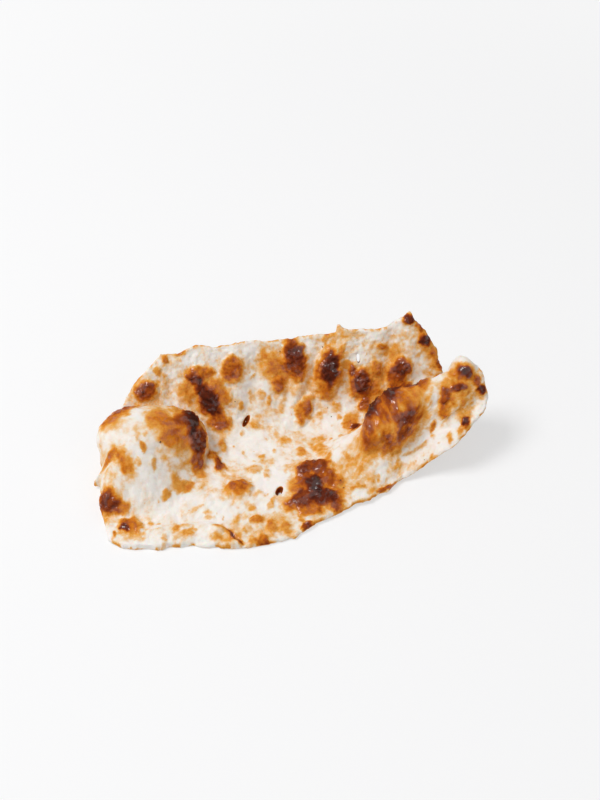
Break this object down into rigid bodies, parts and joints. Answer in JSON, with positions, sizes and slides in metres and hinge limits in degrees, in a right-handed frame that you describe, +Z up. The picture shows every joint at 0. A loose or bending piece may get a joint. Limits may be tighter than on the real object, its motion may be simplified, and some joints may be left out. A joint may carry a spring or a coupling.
{
  "type": "naan bread",
  "caption": "Large flat naan bread, draped with a raised back, a puffed dome at one end and dark blisters.",
  "frame": {"origin": "middle of the bread's outer box at the surface it rests on", "axes": "+X along the bread's length from the domed end to the ridged end, +Y towards the raised back, +Z up"},
  "size_m": [0.328, 0.1804, 0.0795],
  "materials": {
    "baked_dough": "dry matt cream crust with browned, lightly buttered blisters"
  },
  "bodies": {
    "root": {"naan": "baked_dough"}
  },
  "joints": []
}
